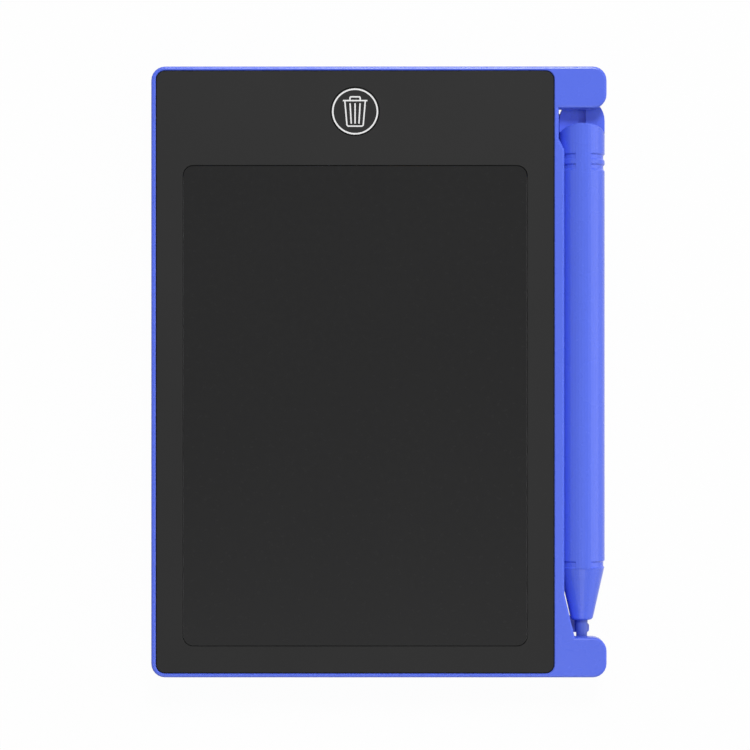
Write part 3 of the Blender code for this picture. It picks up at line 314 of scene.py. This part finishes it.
def turn(centre, radius, start_deg, end_deg, steps):
    """Points along an arc."""
    step = (end_deg - start_deg) / steps
    angles = [math.radians(start_deg + step * i) for i in range(steps + 1)]
    return [(centre[0] + radius * math.cos(a), centre[1] + radius * math.sin(a)) for a in angles]


def mirrored(half):
    """A left half, followed by its mirror image."""
    return half + [(-x, y) for x, y in reversed(half)]


def add_mesh(name, work, look):
    """Makes an object with one material from a bmesh."""
    mesh = bpy.data.meshes.new(name)
    work.to_mesh(mesh)
    work.free()
    mesh.materials.append(look)
    made = bpy.data.objects.new(name, mesh)
    scene.collection.objects.link(made)
    return made


cap_low, cap_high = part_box("button_cap")
cap_x, cap_y = (cap_low.x + cap_high.x) / 2, (cap_low.y + cap_high.y) / 2
print_mesh = bmesh.new()


def draw(points, width=ICON_STROKE, closed=False):
    """Inks a line on the cap's face."""
    on_cap = [(cap_x + x * MM, cap_y + (y - PRINT_DROP) * MM) for x, y in points]
    stroke(print_mesh, on_cap, width * MM, cap_high.z, cap_high.z + INK_HEIGHT * MM, closed)


draw(turn((0, 0), RING_RADIUS, 0, 360, RING_STEPS)[:-1], RING_STROKE, closed=True)
draw(mirrored([LID_END]))
draw(mirrored([HANDLE_FOOT] + turn(HANDLE_BEND, HANDLE_BEND_RADIUS, 180, 90, HANDLE_BEND_STEPS)))
bin_bend = turn(BIN_BEND, BIN_BEND_RADIUS, 180 + BIN_SLANT_DEG, 270, BIN_BEND_STEPS)
draw(mirrored([BIN_RIM] + bin_bend))
for side in (1, 0, -1):
    draw([(side * x, y) for x, y in (RIB_TOP, RIB_FOOT)])
bmesh.ops.recalc_face_normals(print_mesh, faces=print_mesh.faces)
button_print = add_mesh("button_print", print_mesh, printing_ink("white_ink"))
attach(button_print, "erase_button")


# Floor and world: a plain level of light, and white for the rays that show the background

FLOOR_HALF = 3.0
FLOOR_DROP = 0.1 * MM
FLOOR_GREY = 0.72
FLOOR_WHITE_SHARE = 0.97  # the rest shows the part's shadow
WORLD_LIGHT = 0.22
WHITE = (1, 1, 1, 1)


def calculate(tree, operation, first, second):
    node = tree.nodes.new("ShaderNodeMath")
    node.operation = operation
    return feed(tree, node, {0: first, 1: second}).outputs[0]


def shown_rays(tree):
    """1 for the rays that show the background, as seen or in gloss and glass, and 0 for light."""
    kinds = tree.nodes.new("ShaderNodeLightPath").outputs
    glossy = calculate(tree, "MAXIMUM", kinds["Is Camera Ray"], kinds["Is Glossy Ray"])
    return calculate(tree, "MAXIMUM", glossy, kinds["Is Transmission Ray"])


def mix_shaders(tree, share, first, second):
    inputs = {"Fac": share, 1: first.outputs[0], 2: second.outputs[0]}
    return add_node(tree, "ShaderNodeMixShader", inputs).outputs[0]


floor_look, tree, shader = new_material("pale_floor")
feed(tree, shader, {
    "Base Color": (FLOOR_GREY, FLOOR_GREY, FLOOR_GREY, 1),
    "Roughness": 0.9,
    "Specular IOR Level": 0.0,
})
glow = add_node(tree, "ShaderNodeEmission", {"Color": WHITE, "Strength": 1.0})
share = calculate(tree, "MULTIPLY", shown_rays(tree), FLOOR_WHITE_SHARE)
surface = mix_shaders(tree, share, shader, glow)
feed(tree, tree.nodes["Material Output"], {"Surface": surface})

floor_mesh = bmesh.new()
bmesh.ops.create_grid(floor_mesh, x_segments=1, y_segments=1, size=FLOOR_HALF)
floor = add_mesh("floor", floor_mesh, floor_look)
floor.location.z = -FLOOR_DROP

scene.world = bpy.data.worlds.new("studio")
scene.world.use_nodes = True
tree = scene.world.node_tree
tree.nodes.clear()
dim = add_node(tree, "ShaderNodeBackground", {"Color": WHITE, "Strength": WORLD_LIGHT})
white = add_node(tree, "ShaderNodeBackground", {"Color": WHITE, "Strength": 1.0})
surface = mix_shaders(tree, shown_rays(tree), dim, white)
add_node(tree, "ShaderNodeOutputWorld", {"Surface": surface})


# Lamps and camera


def lamp(name, place, size, power):
    """A rectangular panel that faces the part."""
    data = bpy.data.lights.new(name, "AREA")
    data.shape = "RECTANGLE"
    data.size, data.size_y = size
    data.energy = power
    made = bpy.data.objects.new(name, data)
    made.location = place
    made.rotation_euler = (-Vector(place)).to_track_quat("-Z", "Y").to_euler()
    scene.collection.objects.link(made)


lamp("key", place=(0.14, 1.02, 1.36), size=(0.5, 0.46), power=17.6)
lamp("side_panel", place=(1.50, 0.15, 0.75), size=(1.9, 1.6), power=14.0)
lamp("overhead", place=(0.0, -0.72, 1.45), size=(1.0, 1.0), power=4.6)

# The camera looks straight down. All in mm but the clipping, which is in metres.
CAMERA_X, CAMERA_Y = -0.74, -0.575
FRONT_DISTANCE = 450  # from the lens to the case's front
FRONT_SPAN = 141.17  # the width that the photo shows there
SENSOR_WIDTH = 36
CLIP_NEAR, CLIP_FAR = 0.01, 20

lens = bpy.data.cameras.new("photo_camera")
lens.sensor_fit = "HORIZONTAL"
lens.sensor_width = SENSOR_WIDTH
lens.lens = SENSOR_WIDTH * FRONT_DISTANCE / FRONT_SPAN
lens.clip_start, lens.clip_end = CLIP_NEAR, CLIP_FAR
scene.camera = bpy.data.objects.new("photo_camera", lens)
scene.camera.location = (CAMERA_X * MM, CAMERA_Y * MM, cad_box[1].z + FRONT_DISTANCE * MM)
scene.collection.objects.link(scene.camera)
scene.view_settings.view_transform = "Standard"
